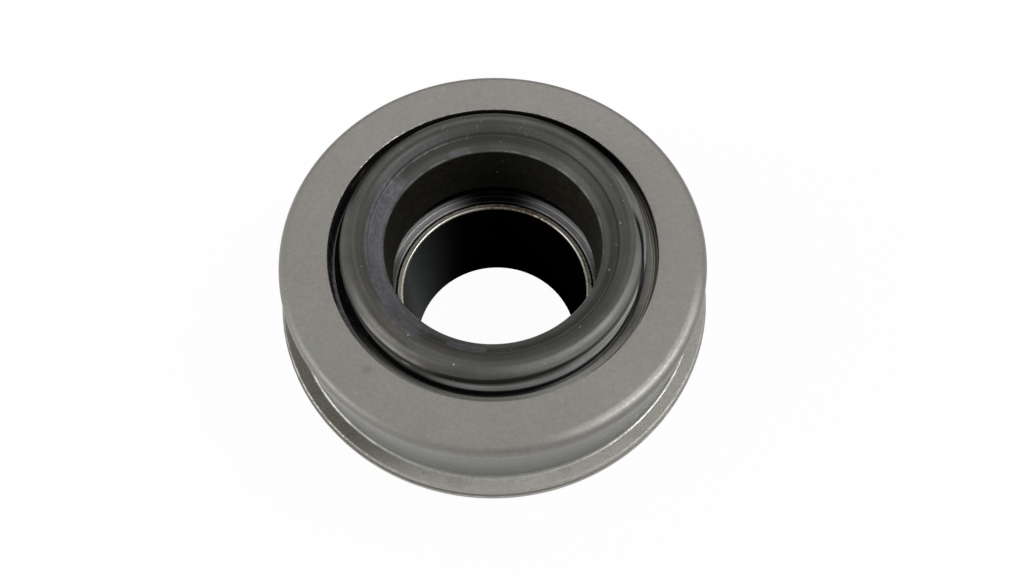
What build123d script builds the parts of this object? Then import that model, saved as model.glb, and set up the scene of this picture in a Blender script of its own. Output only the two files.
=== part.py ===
from build123d import *
import os
from math import acos, atan2, cos, degrees, pi, radians, sin, sqrt, tan

# Clutch release bearing, in millimetres.
# Z is the turning axis, and it points from the gearbox to the clutch.
# Z = 0 is the rear end of the hub's tube, which the part stands on.

# Fits
seat_gap = 0.02            # round faces that are pressed or bonded together
rolling_gap = 0.04         # ball to raceway, along the line of contact
pocket_gap = 0.12          # ball to cage
lip_gap = 0.05             # seal lips to the nose ring, after running in
cage_gap = 0.3             # cage to both rings
cage_room = 0.33           # cage to the front seal's lip

# Lining bush, which slides on the gearbox's guide tube
bore_radius = 16.9
liner_wall = 1.3
liner_recess = 0.05        # its rear end inside the tube's
liner_front_recess = 0.25
liner_chamfer = 0.3        # lead-in at the front end of its bore
liner_edge = 0.1           # its other corners

# Hub: tube, dished web and thrust plate in one
tube_wall = 1.4
tube_stand = 0.2           # front end of the tube over the dish
tube_chamfer = 0.3
plate_height = 25.45       # fork face above the tube's rear end
plate_thickness = 2.2
plate_overhang = 0.3       # plate beyond the cover's flange
plate_rounding = 0.8       # lower rim of the plate
plate_edge = 0.12          # upper rim of the plate
dish_depth = 2.2
dish_setback = 0.7         # dish edge inside the outer race's bore
dish_rounding = 0.8
dish_fillet = 0.5          # inner corner of the dish's step, on the rear side
hub_fillet = 1.5           # tube to web, on the rear side

# Balls and raceways
ball_diameter = 7.938
contact_angle = 35.0
race_easing = 0.159        # raceway radius over the ball's
high_shoulder = 1.83       # raceway depth on the side that takes the thrust
low_shoulder = 0.33        # raceway depth on the other side

# Nose ring, whose crest meets the fingers of the diaphragm spring
nose_clearance = 0.97      # its bore over the lining's bore
nose_wall = 6.93           # bore to flank
nose_rise = 3.15           # crest over the cover's face
nose_heel = 0.72           # raceway's end to the rear face
nose_shoulder = 2.4        # rounding from the crest to the flank
nose_crest = 2.0           # rounding from the crest to the inner cone
nose_cone_angle = 41.0
nose_lip_rounding = 0.3    # bore edge
nose_rear_chamfer = 0.4
nose_line_setback = 2.2    # fine turned line in the cone, inside the crest
nose_line_width = 0.24
nose_line_depth = 0.12

# Outer race
race_wall = 2.85           # steel outside the deepest point of the raceway
race_foot = 2.66           # shoulder behind the raceway
race_chamfer = 0.5
seal_lead_in = 0.3         # lets the front seal snap in
seal_groove_depth = 0.8
seal_lip_height = 0.4      # how far the snap edge stands into the seal's groove

# Front seal
seal_depth = 1.15          # below the front of the outer race
seal_thickness = 1.05
seal_rim_gap = 0.6         # rim to the nose's flank
seal_rim_bevel = 0.9
seal_lip_drop = 0.5
seal_lip_thickness = 0.3

# Rear seal
rear_base = 1.0
rear_lip_thickness = 0.9
rear_lip_root = 3.5        # lip's root inside the dish's edge
rear_lip_inset = 1.4       # lip's tip inside the nose ring's heel

# Cover
sheet = 1.2
opening_gap = 2.2          # opening to the nose's flank
opening_edge = 0.1
cover_corner = 1.6
cover_flange_width = 2.8
cover_flange_rounding = 0.4
cover_foot = 0.65

# Ball cage
cage_web = 2.4             # least plastic between two balls
cage_back = 0.75           # plastic over the top of a ball
cage_grip = 1.5            # how far the claws reach past the ball's middle
cage_slot_width = 0.9
cage_slot_top = 1.3        # slot's end above the ball's middle

# Radii, worked out from the bore outwards
ball_radius = ball_diameter / 2
race_radius = ball_radius + race_easing
race_shift = race_radius - ball_radius - rolling_gap
shift_out = race_shift * cos(radians(contact_angle))
shift_up = race_shift * sin(radians(contact_angle))
liner_radius = bore_radius + liner_wall
tube_bore_radius = liner_radius + seat_gap
tube_radius = tube_bore_radius + tube_wall
nose_bore_radius = bore_radius + nose_clearance
nose_flank_radius = nose_bore_radius + nose_wall
nose_race_depth = nose_flank_radius - high_shoulder
nose_land_radius = nose_race_depth + low_shoulder
pitch_radius = nose_race_depth + race_radius - shift_out
race_depth = pitch_radius - shift_out + race_radius
race_shoulder_radius = race_depth - high_shoulder
race_land_radius = race_depth - low_shoulder
race_outer_radius = race_depth + race_wall
dish_radius = race_shoulder_radius - dish_setback
opening_radius = nose_flank_radius + opening_gap
cover_inner_radius = race_outer_radius + seat_gap
cover_wall_radius = cover_inner_radius + sheet
cover_inner_corner = cover_corner - sheet
cover_flange_radius = cover_wall_radius + cover_flange_width
plate_radius = cover_flange_radius + plate_overhang
seal_outer_radius = race_land_radius + seal_groove_depth - seat_gap
seal_rim_radius = nose_flank_radius + seal_rim_gap
cage_inner_radius = nose_flank_radius + cage_gap
cage_outer_radius = race_land_radius - cage_gap
ball_count = int(2 * pi * pitch_radius / (ball_diameter + cage_web))

# Heights, worked out from the tube's rear end upwards
high_reach = sqrt(2 * high_shoulder * race_radius - high_shoulder ** 2)
low_reach = sqrt(2 * low_shoulder * race_radius - low_shoulder ** 2)
plate_top = plate_height + plate_thickness
dish_top = plate_top - dish_depth
tube_top = dish_top + tube_stand
liner_top = tube_top - liner_front_recess
ball_height = plate_top + race_foot + high_reach - shift_up
cage_bottom = ball_height - cage_grip
cage_top = ball_height + ball_radius + cage_back
seal_lip_bottom = cage_top + cage_room
seal_underside = seal_lip_bottom + seal_lip_drop
seal_top = seal_underside + seal_thickness
race_top = seal_top + seal_depth
cover_top = race_top + sheet
nose_rear = ball_height - shift_up - low_reach - nose_heel
nose_top = cover_top + nose_rise
same_point = 1e-6


def turned(outline):
    """A solid of revolution from an outline in radius and height."""
    return revolve(Plane.XZ * make_face(outline), Axis.Z, 360)


def on_circle(centre, radius, angle):
    """The point of a circle at an angle in degrees, from outwards towards up."""
    r, z = centre
    return (r + radius * cos(radians(angle)), z + radius * sin(radians(angle)))


def arc(centre, radius, start, end):
    """The arc of a circle between two angles in degrees."""
    middle = on_circle(centre, radius, (start + end) / 2)
    return ThreePointArc(on_circle(centre, radius, start), middle, on_circle(centre, radius, end))


def outline_of(*pieces):
    """One closed outline: points are joined by lines, and arcs are taken as they are."""
    edges = []
    last = None
    first = None
    for piece in pieces:
        is_point = isinstance(piece, tuple)
        start = Vector(*piece) if is_point else piece @ 0
        if first is None:
            first = start
        elif (last - start).length > same_point:
            edges.append(Line(last, start))
        if not is_point:
            edges.append(piece)
        last = start if is_point else piece @ 1
    if (last - first).length > same_point:
        edges.append(Line(last, first))
    return edges


def raceway(side):
    """The arc that the balls roll on, from its upper end to its lower end.

    Side -1 is the nose ring's, with its high shoulder above; +1 is the outer race's, with it below."""
    centre = (pitch_radius - side * shift_out, ball_height + side * shift_up)
    high = degrees(acos(1 - high_shoulder / race_radius))
    low = degrees(acos(1 - low_shoulder / race_radius))
    if side < 0:
        return arc(centre, race_radius, 180 - high, 180 + low)
    return arc(centre, race_radius, low, -high)


def liner_bush():
    """Plain bush with a lead-in at its front end."""
    inner = bore_radius
    outer = liner_radius
    low = liner_recess
    high = liner_top
    c = liner_edge
    return turned(outline_of(
        (inner + c, low), (outer - c, low), (outer, low + c), (outer, high - c), (outer - c, high),
        (inner + liner_chamfer, high), (inner, high - liner_chamfer), (inner, low + c)))


def carrier_hub():
    """Turned hub: the tube, the dished web and the plate that the fork pushes."""
    c = tube_chamfer
    web_bottom = dish_top - plate_thickness
    rounding = dish_rounding
    step = dish_radius + plate_thickness / 2
    return turned(outline_of(
        (tube_bore_radius + c, 0), (tube_radius - c, 0), (tube_radius, c),
        arc((tube_radius + hub_fillet, web_bottom - hub_fillet), hub_fillet, 180, 90),
        arc((step - rounding, web_bottom + rounding), rounding, -90, 0),
        arc((step + dish_fillet, plate_height - dish_fillet), dish_fillet, 180, 90),
        arc((plate_radius - plate_rounding, plate_height + plate_rounding), plate_rounding, -90, 0),
        arc((plate_radius - plate_edge, plate_top - plate_edge), plate_edge, 0, 90),
        arc((dish_radius + rounding, plate_top - rounding), rounding, 90, 180),
        (dish_radius, dish_top), (tube_radius, dish_top),
        (tube_radius, tube_top - c), (tube_radius - c, tube_top),
        (tube_bore_radius + c, tube_top), (tube_bore_radius, tube_top - c),
        (tube_bore_radius, c)))


def nose_ring():
    """Hardened inner ring: thrust nose in front, raceway with its high shoulder in front of the balls."""
    crest_radius = nose_flank_radius - nose_shoulder
    crest = (crest_radius, nose_top - nose_crest)
    shoulder = (crest_radius, nose_top - nose_shoulder)
    slope = tan(radians(nose_cone_angle))
    foot_r, foot_z = on_circle(crest, nose_crest, 90 + nose_cone_angle)

    def cone(radius):
        """Height of the inner cone at a radius."""
        return foot_z - (foot_r - radius) * slope

    line_radius = crest_radius - nose_line_setback
    line_left = line_radius - nose_line_width / 2
    line_right = line_radius + nose_line_width / 2
    bend = nose_lip_rounding * tan(radians((90 - nose_cone_angle) / 2))
    lip_z = cone(nose_bore_radius) - bend
    lip = arc((nose_bore_radius + nose_lip_rounding, lip_z), nose_lip_rounding, 180, 90 + nose_cone_angle)
    c = nose_rear_chamfer
    return turned(outline_of(
        (nose_bore_radius, nose_rear + c), lip,
        (line_left, cone(line_left)),
        (line_radius, cone(line_radius) - nose_line_depth),
        (line_right, cone(line_right)),
        arc(crest, nose_crest, 90 + nose_cone_angle, 90),
        arc(shoulder, nose_shoulder, 90, 0),
        raceway(-1),
        (nose_land_radius, nose_rear + c), (nose_land_radius - c, nose_rear),
        (nose_bore_radius + c, nose_rear)))


def outer_race():
    """Fixed outer ring: high shoulder behind the balls, snap groove for the front seal.

    Its front corner is as round as the inside of the cover's corner."""
    c = race_chamfer
    groove = seal_outer_radius + seat_gap
    snap = groove - seal_lip_height
    rounding = cover_inner_corner
    return turned(outline_of(
        (race_outer_radius - c, plate_top), (race_outer_radius, plate_top + c),
        arc((race_outer_radius - rounding, race_top - rounding), rounding, 0, 90),
        (snap + seal_lead_in, race_top), (snap, race_top - seal_lead_in), (snap, seal_top),
        (groove, seal_top), (groove, seal_underside), (race_land_radius, seal_underside),
        raceway(1),
        (race_shoulder_radius, plate_top + c), (race_shoulder_radius + c, plate_top)))


def front_seal():
    """Rubber disc snapped into the outer race: bevelled inner rim, and a thin lip near the flank."""
    tip = nose_flank_radius + lip_gap
    rim_bottom = seal_top - seal_rim_bevel
    lip_top = seal_lip_bottom + seal_lip_thickness
    return turned(outline_of(
        (seal_outer_radius, seal_underside), (seal_outer_radius, seal_top),
        (seal_rim_radius + seal_rim_bevel, seal_top), (seal_rim_radius, rim_bottom),
        (seal_rim_radius, lip_top),
        (tip, seal_lip_bottom + seal_lip_thickness / 2), (tip, seal_lip_bottom),
        (seal_rim_radius + seal_lip_thickness, seal_lip_bottom),
        (seal_rim_radius + seal_rim_bevel, seal_underside)))


def rear_seal():
    """Rubber ring bonded into the hub's dish, with a lip that slopes in to the nose ring's rear face."""
    inner = tube_radius + seat_gap
    outer = dish_radius - seat_gap
    base_top = dish_top + rear_base
    tip_height = nose_rear - lip_gap
    tip_radius = nose_land_radius - rear_lip_inset
    root_radius = dish_radius - rear_lip_root
    slant = atan2(tip_height - base_top, root_radius - tip_radius)
    width = rear_lip_thickness / sin(slant)
    return turned(outline_of(
        (inner, dish_top), (outer, dish_top), (outer, base_top),
        (root_radius + width, base_top),
        (tip_radius + rear_lip_thickness / 2, tip_height), (tip_radius, tip_height),
        (root_radius, base_top), (inner, base_top)))


def cover_shell():
    """Cover drawn from one sheet: face, corner, wall and outward flange."""
    outer = cover_wall_radius
    inner = cover_inner_radius
    inner_corner = cover_inner_corner
    flange_top = plate_top + sheet
    foot = cover_foot
    rounding = cover_flange_rounding
    return turned(outline_of(
        (inner, plate_top),
        arc((inner - inner_corner, race_top - inner_corner), inner_corner, 0, 90),
        (opening_radius + opening_edge, race_top), (opening_radius, race_top + opening_edge),
        arc((opening_radius + opening_edge, cover_top - opening_edge), opening_edge, 180, 90),
        arc((outer - cover_corner, cover_top - cover_corner), cover_corner, 90, 0),
        arc((outer + foot, flange_top + foot), foot, 180, 270),
        arc((cover_flange_radius - rounding, flange_top - rounding), rounding, 90, 0),
        (cover_flange_radius, plate_top)))


def ball_place(index):
    """Where a ball's centre lies."""
    return Rot(0, 0, index * 360 / ball_count) * Pos(pitch_radius, 0, ball_height)


def ball_cage():
    """Moulded snap cage: a ring with a round pocket for each ball, and slots that let its claws spring."""
    ring = turned(outline_of(
        (cage_inner_radius, cage_bottom), (cage_outer_radius, cage_bottom),
        (cage_outer_radius, cage_top), (cage_inner_radius, cage_top)))
    pocket = Sphere(ball_radius + pocket_gap)
    slot_top = ball_height + cage_slot_top
    slot_height = slot_top - cage_bottom + cage_slot_width
    slot = Box(2 * (cage_outer_radius - cage_inner_radius), cage_slot_width, slot_height)
    step = 360 / ball_count
    for index in range(ball_count):
        ring -= ball_place(index) * pocket
        middle = Rot(0, 0, (index + 0.5) * step) * Pos(pitch_radius, 0, slot_top - slot_height / 2)
        ring -= middle * slot
    return ring


os.makedirs("parts", exist_ok=True)
export_step(cover_shell(), "parts/cover_shell.step")
export_step(carrier_hub(), "parts/carrier_hub.step")
export_step(liner_bush(), "parts/liner_bush.step")
export_step(nose_ring(), "parts/nose_ring.step")
export_step(outer_race(), "parts/outer_race.step")
export_step(front_seal(), "parts/front_seal.step")
export_step(rear_seal(), "parts/rear_seal.step")
export_step(ball_cage(), "parts/ball_cage.step")
for index in range(ball_count):
    export_step(ball_place(index) * Sphere(ball_radius), f"parts/ball_{index + 1:02d}.step")
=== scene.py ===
import math
import bpy
import numpy as np
from mathutils import Matrix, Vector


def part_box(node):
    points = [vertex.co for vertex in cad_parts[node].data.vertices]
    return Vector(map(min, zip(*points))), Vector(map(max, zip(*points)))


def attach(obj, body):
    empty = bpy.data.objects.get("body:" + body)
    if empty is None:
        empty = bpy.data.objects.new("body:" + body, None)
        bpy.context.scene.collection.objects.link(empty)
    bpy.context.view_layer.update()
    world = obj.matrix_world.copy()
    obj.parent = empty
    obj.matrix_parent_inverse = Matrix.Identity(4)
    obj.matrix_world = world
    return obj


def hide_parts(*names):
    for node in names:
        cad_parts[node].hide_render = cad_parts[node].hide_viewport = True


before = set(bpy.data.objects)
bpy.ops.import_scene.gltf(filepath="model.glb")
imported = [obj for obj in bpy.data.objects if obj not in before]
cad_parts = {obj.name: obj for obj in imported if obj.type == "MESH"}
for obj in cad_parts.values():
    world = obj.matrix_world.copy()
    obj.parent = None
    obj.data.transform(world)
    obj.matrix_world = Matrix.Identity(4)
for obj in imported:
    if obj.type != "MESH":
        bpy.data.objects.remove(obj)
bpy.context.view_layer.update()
print("frame loaded:", len(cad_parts), "nodes")

mm = 0.001  # lengths below are millimetres; Blender has metres


# Measures taken from the CAD nodes

def cornersOf(node):
    # radius and height of every corner of a node's mesh, in millimetres
    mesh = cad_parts[node].data
    flat = np.empty(len(mesh.vertices) * 3)
    mesh.vertices.foreach_get("co", flat)
    x, y, z = flat.reshape(-1, 3).T / mm
    return np.hypot(x, y), z


def radii(node, low=-1e9, high=1e9):
    # least and greatest radius of a node between two heights
    r, z = cornersOf(node)
    inside = (z >= low) & (z <= high)
    return float(r[inside].min()), float(r[inside].max())


def heights(node, inner=-1e9, outer=1e9):
    # least and greatest height of a node between two radii
    r, z = cornersOf(node)
    inside = (r >= inner) & (r <= outer)
    return float(z[inside].min()), float(z[inside].max())


# Turned shapes

def arcPoints(centre, radius, start, end, steps):
    # circle arc: centre + radius * (cos a, sin a) for angles a from start to end, in degrees
    a = np.radians(np.linspace(start, end, steps))
    return np.stack([centre[0] + radius * np.cos(a), centre[1] + radius * np.sin(a)], 1)


def rounded(corners, step=0.12, longest=1.5, support=0.12):
    # closed outline: each corner (radius, height, fillet) becomes the arc that touches both of its sides,
    # with points a step apart, and each straight stretch gets points a support's length from its ends, so
    # that flats shade flat, and no two further apart than the longest
    points = np.array([c[:2] for c in corners], float)
    pieces = []
    for i, corner in enumerate(corners):
        here, fillet = points[i], corner[2]
        back = points[i - 1] - here
        ahead = points[(i + 1) % len(points)] - here
        u, v = back / np.linalg.norm(back), ahead / np.linalg.norm(ahead)
        half = math.acos(max(-1.0, min(1.0, float(u @ v)))) / 2
        if fillet < 1e-6 or half > math.radians(89.5):
            pieces.append(here[None])
            continue
        centre = here + (u + v) / np.linalg.norm(u + v) * fillet / math.sin(half)
        first = here + u * fillet / math.tan(half) - centre
        turn = np.arctan2(u[0] * v[1] - u[1] * v[0], u @ v)
        sweep = -math.copysign(math.pi - 2 * half, turn)
        steps = max(4, int(abs(sweep) * fillet / step) + 2)
        a = math.atan2(first[1], first[0]) + np.linspace(0, sweep, steps)
        pieces.append(centre + fillet * np.stack([np.cos(a), np.sin(a)], 1))
    outline = []
    for i, piece in enumerate(pieces):
        start, end = piece[-1], pieces[(i + 1) % len(pieces)][0]
        length = np.linalg.norm(end - start)
        near = min(support / max(length, 1e-9), 0.3)
        count = max(2, int(length / longest) + 2)
        share = np.linspace(near, 1 - near, count) if length > 4 * step else np.empty(0)
        outline += [piece, start + share[:, None] * (end - start)]
    outline = np.concatenate(outline)
    apart = np.linalg.norm(outline - np.roll(outline, 1, 0), axis=1)
    return outline[apart > 1e-4]


def lathe(name, outline, turns, stray=None):
    # turned surface: the point at angle a and outline place s is (r(s) cos a, r(s) sin a, z(s)),
    # where stray(a, r, z) may move r and z a little
    r, z = outline.T
    area = float(np.sum(r * np.roll(z, -1) - np.roll(r, -1) * z)) / 2
    if area < 0:  # faces look outwards when the outline runs anticlockwise
        r, z = r[::-1], z[::-1]
    a = np.linspace(0, 2 * math.pi, turns, endpoint=False)[:, None]
    radius, height = np.broadcast_to(r, (turns, len(r))), np.broadcast_to(z, (turns, len(r)))
    if stray:
        outwards, upwards = stray(a, radius, height)
        radius, height = radius + outwards, height + upwards
    grid = np.stack([radius * np.cos(a), radius * np.sin(a), height], -1) * mm
    count = len(r)
    i, j = np.meshgrid(np.arange(turns), np.arange(count), indexing="ij")
    ni, nj = (i + 1) % turns, (j + 1) % count
    quads = np.stack([i * count + j, ni * count + j, ni * count + nj, i * count + nj], -1)
    mesh = bpy.data.meshes.new(name)
    mesh.from_pydata(grid.reshape(-1, 3), [], quads.reshape(-1, 4))
    mesh.shade_smooth()
    mesh.set_sharp_from_angle(angle=math.radians(40))
    piece = bpy.data.objects.new(name, mesh)
    bpy.context.scene.collection.objects.link(piece)
    return piece


def ripple(a, seed, waves, size):
    # uneven ring: a sum of cosines round the axis with seeded phases, about size high
    random = np.random.default_rng(seed)
    phase = random.uniform(0, 2 * math.pi, len(waves))
    weight = random.uniform(0.5, 1, len(waves))
    return size * sum(w * np.cos(n * a + p) for n, p, w in zip(waves, phase, weight)) / len(waves) ** 0.5


# Node trees

def paint(red, green, blue):
    # a colour written in the 0 to 255 values that a picture shows
    share = np.array([red, green, blue]) / 255
    light = np.where(share <= 0.04045, share / 12.92, ((share + 0.055) / 1.055) ** 2.4)
    return (*light, 1.0)


class Finish:
    # one material: its node tree, built with short calls that take numbers or other nodes' outputs, and the
    # names of the paints and places (middle, half width, softness, in degrees) in the piece's dictionary
    def __init__(self, name, looks):
        self.paints = looks["paints"]
        self.places = looks.get("places")
        self.material = bpy.data.materials.new(name)
        self.material.use_nodes = True
        self.nodes = self.material.node_tree.nodes
        self.links = self.material.node_tree.links
        self.nodes.clear()
        self.shader = self.add("ShaderNodeBsdfPrincipled")
        out = self.add("ShaderNodeOutputMaterial")
        self.links.new(self.shader.outputs[0], out.inputs["Surface"])
        point = self.add("ShaderNodeVectorMath", operation="SCALE")
        self.links.new(self.add("ShaderNodeTexCoord").outputs["Object"], point.inputs[0])
        point.inputs["Scale"].default_value = 1 / mm
        self.point = point.outputs[0]
        parts = self.add("ShaderNodeSeparateXYZ")
        self.links.new(self.point, parts.inputs[0])
        self.x, self.y, self.height = parts.outputs
        self.radius = self.length(self.x, self.y)
        self.angle = self.degrees(self.y, self.x)

    def add(self, kind, **settings):
        node = self.nodes.new(kind)
        for key, value in settings.items():
            setattr(node, key, value)
        return node

    def wire(self, socket, source):
        if isinstance(source, bpy.types.NodeSocket):
            self.links.new(source, socket)
        elif isinstance(source, str):
            socket.default_value = paint(*self.paints[source])
        else:
            socket.default_value = source

    def sum(self, operation, a, b=None, c=None):
        node = self.add("ShaderNodeMath", operation=operation)
        for socket, source in zip(node.inputs, (a, b, c)):
            if source is not None:
                self.wire(socket, source)
        return node.outputs[0]

    def plus(self, a, b):
        return self.sum("ADD", a, b)

    def minus(self, a, b):
        return self.sum("SUBTRACT", a, b)

    def length(self, across, along):
        # root of across squared plus along squared
        return self.sum("SQRT", self.plus(self.every(across, across), self.every(along, along)))

    def degrees(self, along, across):
        # angle of the direction (across, along)
        return self.every(self.sum("ARCTAN2", along, across), 180 / math.pi)

    def past(self, start):
        # degrees round the axis from the start, -180 to 180
        return self.sum("WRAP", self.minus(self.angle, start), 180.0, -180.0)

    def ease(self, value, low, high, to=(0.0, 1.0)):
        # smooth step of the value from low to high, which may be the larger of the two
        node = self.add("ShaderNodeMapRange", interpolation_type="SMOOTHSTEP")
        names = ("Value", "From Min", "From Max", "To Min", "To Max")
        for name, source in zip(names, (value, low, high, *to)):
            self.wire(node.inputs[name], source)
        return node.outputs["Result"]

    def band(self, value, low, high, soft):
        # 1 between low and high, fading over soft at both ends
        rise = self.ease(value, low - soft, low + soft)
        fall = self.ease(value, high - soft, high + soft, (1.0, 0.0))
        return self.every(rise, fall)

    def sector(self, name):
        # 1 within the half width of a place's middle, round the axis
        middle, half, soft = self.places[name]
        return self.ease(self.sum("ABSOLUTE", self.past(middle)), half - soft, half + soft, (1.0, 0.0))

    def torn(self, mask, scale, amount, soft):
        # the mask with its outline torn by noise: 1 where mask + 2 amount (noise - 0.5) passes 0.5
        uneven = self.every(self.minus(self.noise(scale, 4, 0.6), 0.5), amount * 2)
        return self.ease(self.plus(mask, uneven), 0.5 - soft, 0.5 + soft)

    def spot(self, x, y, size, soft=0.5):
        # 1 within size millimetres of a point seen from above
        away = self.length(self.minus(self.x, x), self.minus(self.y, y))
        return self.ease(away, size * (1 - soft), size * (1 + soft), (1.0, 0.0))

    def stroke(self, x, y, turn, length, width):
        # 1 along a straight hair seen from above: its middle, its direction in degrees, its length and width
        c, s = math.cos(math.radians(turn)), math.sin(math.radians(turn))
        across, along = self.minus(self.x, x), self.minus(self.y, y)
        u = self.plus(self.every(across, c), self.every(along, s))
        v = self.minus(self.every(along, c), self.every(across, s))
        ends = self.ease(self.sum("ABSOLUTE", u), length * 0.35, length * 0.5, (1.0, 0.0))
        return self.every(ends, self.ease(self.sum("ABSOLUTE", v), width * 0.3, width * 0.6, (1.0, 0.0)))

    def any(self, *masks):
        # the largest of masks or numbers
        result = masks[0]
        for mask in masks[1:]:
            result = self.sum("MAXIMUM", result, mask)
        return result

    def every(self, *masks):
        # the product of masks or numbers
        result = masks[0]
        for mask in masks[1:]:
            result = self.sum("MULTIPLY", result, mask)
        return result

    def noise(self, scale, detail=2.0, rough=0.5, vector=None, warp=0.0):
        node = self.add("ShaderNodeTexNoise")
        self.wire(node.inputs["Vector"], vector or self.point)
        node.inputs["Scale"].default_value = scale
        node.inputs["Detail"].default_value = detail
        node.inputs["Roughness"].default_value = rough
        node.inputs["Distortion"].default_value = warp
        return node.outputs["Fac"]

    def patchy(self, grain, low, high, to=(0.0, 1.0)):
        # noise of a grain (scale, detail, roughness), eased from low to high
        return self.ease(self.noise(*grain), low, high, to)

    def vector(self, *parts):
        node = self.add("ShaderNodeCombineXYZ")
        for socket, part in zip(node.inputs, parts):
            self.wire(socket, part)
        return node.outputs[0]

    def turned(self, fine, drift=0.6):
        # turning marks: noise along radius and height, drifting slowly round the axis
        slow = self.every(self.noise(0.03, 1.0), drift * 4)
        along = self.vector(self.every(self.radius, fine), self.every(self.height, fine), slow)
        return self.noise(1.0, 2.0, 0.55, along)

    def slanted(self, fine, slope):
        # place for marks that run slantwise round the axis: radius and angle sheared together
        sheared = self.plus(self.every(self.radius, fine), self.every(self.angle, slope))
        return self.vector(sheared, self.every(self.angle, 0.05), self.height)

    def mix(self, share, a, b, blend="MIX"):
        node = self.add("ShaderNodeMix", data_type="RGBA", blend_type=blend)
        self.wire(node.inputs[0], share)
        self.wire(node.inputs[6], a)
        self.wire(node.inputs[7], b)
        return node.outputs[2]

    def shade(self, colour, level):
        # colour times a grey level
        grey = self.add("ShaderNodeCombineColor")
        for socket in grey.inputs:
            self.wire(socket, level)
        return self.mix(1.0, colour, grey.outputs[0], "MULTIPLY")

    def ramp(self, value, stops):
        # smooth colour ramp with stops (place, colour)
        node = self.add("ShaderNodeValToRGB")
        node.color_ramp.interpolation = "EASE"
        keys = node.color_ramp.elements
        keys[0].position, keys[0].color = stops[0]
        keys[1].position, keys[1].color = stops[-1]
        for place, colour in stops[1:-1]:
            keys.new(place).color = colour
        self.wire(node.inputs[0], value)
        return node.outputs["Color"]

    def bump(self, height, strength, distance=0.02, under=None):
        node = self.add("ShaderNodeBump")
        node.inputs["Strength"].default_value = strength
        node.inputs["Distance"].default_value = distance * mm
        self.wire(node.inputs["Height"], height)
        if under:
            self.wire(node.inputs["Normal"], under)
        return node.outputs["Normal"]

    def done(self, **sockets):
        names = {"colour": "Base Color", "metal": "Metallic", "rough": "Roughness", "normal": "Normal",
                 "specular": "Specular IOR Level"}
        for key, source in sockets.items():
            self.wire(self.shader.inputs[names[key]], source)
        return self.material


# Camera, background and light

camera = {
    "lens": 26.014, "sensor": 36.0,
    "place": (0.003156, -0.058918, 0.148474),
    "right": (0.99994175, 0.00974099, 0.00464766),
    "down": (0.01079295, -0.90248066, -0.43059513),
    "ahead": (0.0, 0.43062021, -0.90253323),
}

lens = bpy.data.cameras.new("camera")
lens.lens = camera["lens"]
lens.sensor_width = camera["sensor"]
lens.clip_start = 0.005
lens.clip_end = 50
viewer = bpy.data.objects.new("camera", lens)
axes = np.array([camera["right"], np.negative(camera["down"]), np.negative(camera["ahead"])]).T
viewer.matrix_world = Matrix.Translation(camera["place"]) @ Matrix(axes.tolist()).to_4x4()
bpy.context.scene.collection.objects.link(viewer)
bpy.context.scene.camera = viewer
bpy.context.scene.view_settings.view_transform = "Standard"

studio = {
    "ambient": 0.28,       # level that the surroundings give to matt surfaces
    "floorSize": 6.0,
    "floorTone": 0.9,
    "floorGlow": 0.97,     # share of the floor that shows plain white
    "panels": {            # place, aim, side lengths, watts
        "overhead": ((0.0, 0.46, 0.6), (0, 0, 0.03), (0.5, 0.4), 0.7),
        "left": ((-0.54, -0.18, 0.4), (0, 0, 0.03), (0.35, 0.45), 2.0),
        "right": ((0.45, -0.04, 0.7), (0, 0, 0.03), (0.26, 0.24), 2.7),
    },
    "cards": {             # dark cards that the steel reflects: middle, half width, lower and upper edge
        "front": ((0.0, -0.4), 0.2, 0.13, 0.9),
        "behind": ((0.0, 0.34), 0.4, 0.001, 0.2),
    },
    "cardTone": 0.03,
}


def shownShare(nodes, links):
    # 1 for what the camera, a mirror or glass sees, 0 for the light that falls on matt surfaces
    path = nodes.new("ShaderNodeLightPath")
    share = path.outputs["Is Camera Ray"]
    for name in ("Is Glossy Ray", "Is Transmission Ray"):
        both = nodes.new("ShaderNodeMath")
        both.operation = "MAXIMUM"
        links.new(share, both.inputs[0])
        links.new(path.outputs[name], both.inputs[1])
        share = both.outputs[0]
    return share


world = bpy.data.worlds.new("studio")
bpy.context.scene.world = world
world.use_nodes = True
nodes, links = world.node_tree.nodes, world.node_tree.links
nodes.clear()
glow = nodes.new("ShaderNodeBackground")
level = nodes.new("ShaderNodeMapRange")
links.new(shownShare(nodes, links), level.inputs["Value"])
level.inputs["To Min"].default_value = studio["ambient"]
level.inputs["To Max"].default_value = 1.0
links.new(level.outputs["Result"], glow.inputs["Strength"])
links.new(glow.outputs[0], nodes.new("ShaderNodeOutputWorld").inputs["Surface"])


def plane(name, meshName, corners, material):
    # four-cornered piece of the studio
    mesh = bpy.data.meshes.new(meshName)
    mesh.from_pydata(corners, [], [(0, 1, 2, 3)])
    mesh.materials.append(material)
    piece = bpy.data.objects.new(name, mesh)
    bpy.context.scene.collection.objects.link(piece)
    return piece


white = bpy.data.materials.new("white floor")
white.use_nodes = True
nodes, links = white.node_tree.nodes, white.node_tree.links
nodes.clear()
matt = nodes.new("ShaderNodeBsdfDiffuse")
matt.inputs["Color"].default_value = (*[studio["floorTone"]] * 3, 1)
bright = nodes.new("ShaderNodeEmission")
blend = nodes.new("ShaderNodeMixShader")
share = nodes.new("ShaderNodeMath")
share.operation = "MULTIPLY"
links.new(shownShare(nodes, links), share.inputs[0])
share.inputs[1].default_value = studio["floorGlow"]
links.new(share.outputs[0], blend.inputs[0])
links.new(matt.outputs[0], blend.inputs[1])
links.new(bright.outputs[0], blend.inputs[2])
links.new(blend.outputs[0], nodes.new("ShaderNodeOutputMaterial").inputs["Surface"])
half = studio["floorSize"] / 2
plane("floor", "floor", [(-half, -half, 0), (half, -half, 0), (half, half, 0), (-half, half, 0)], white)

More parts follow.
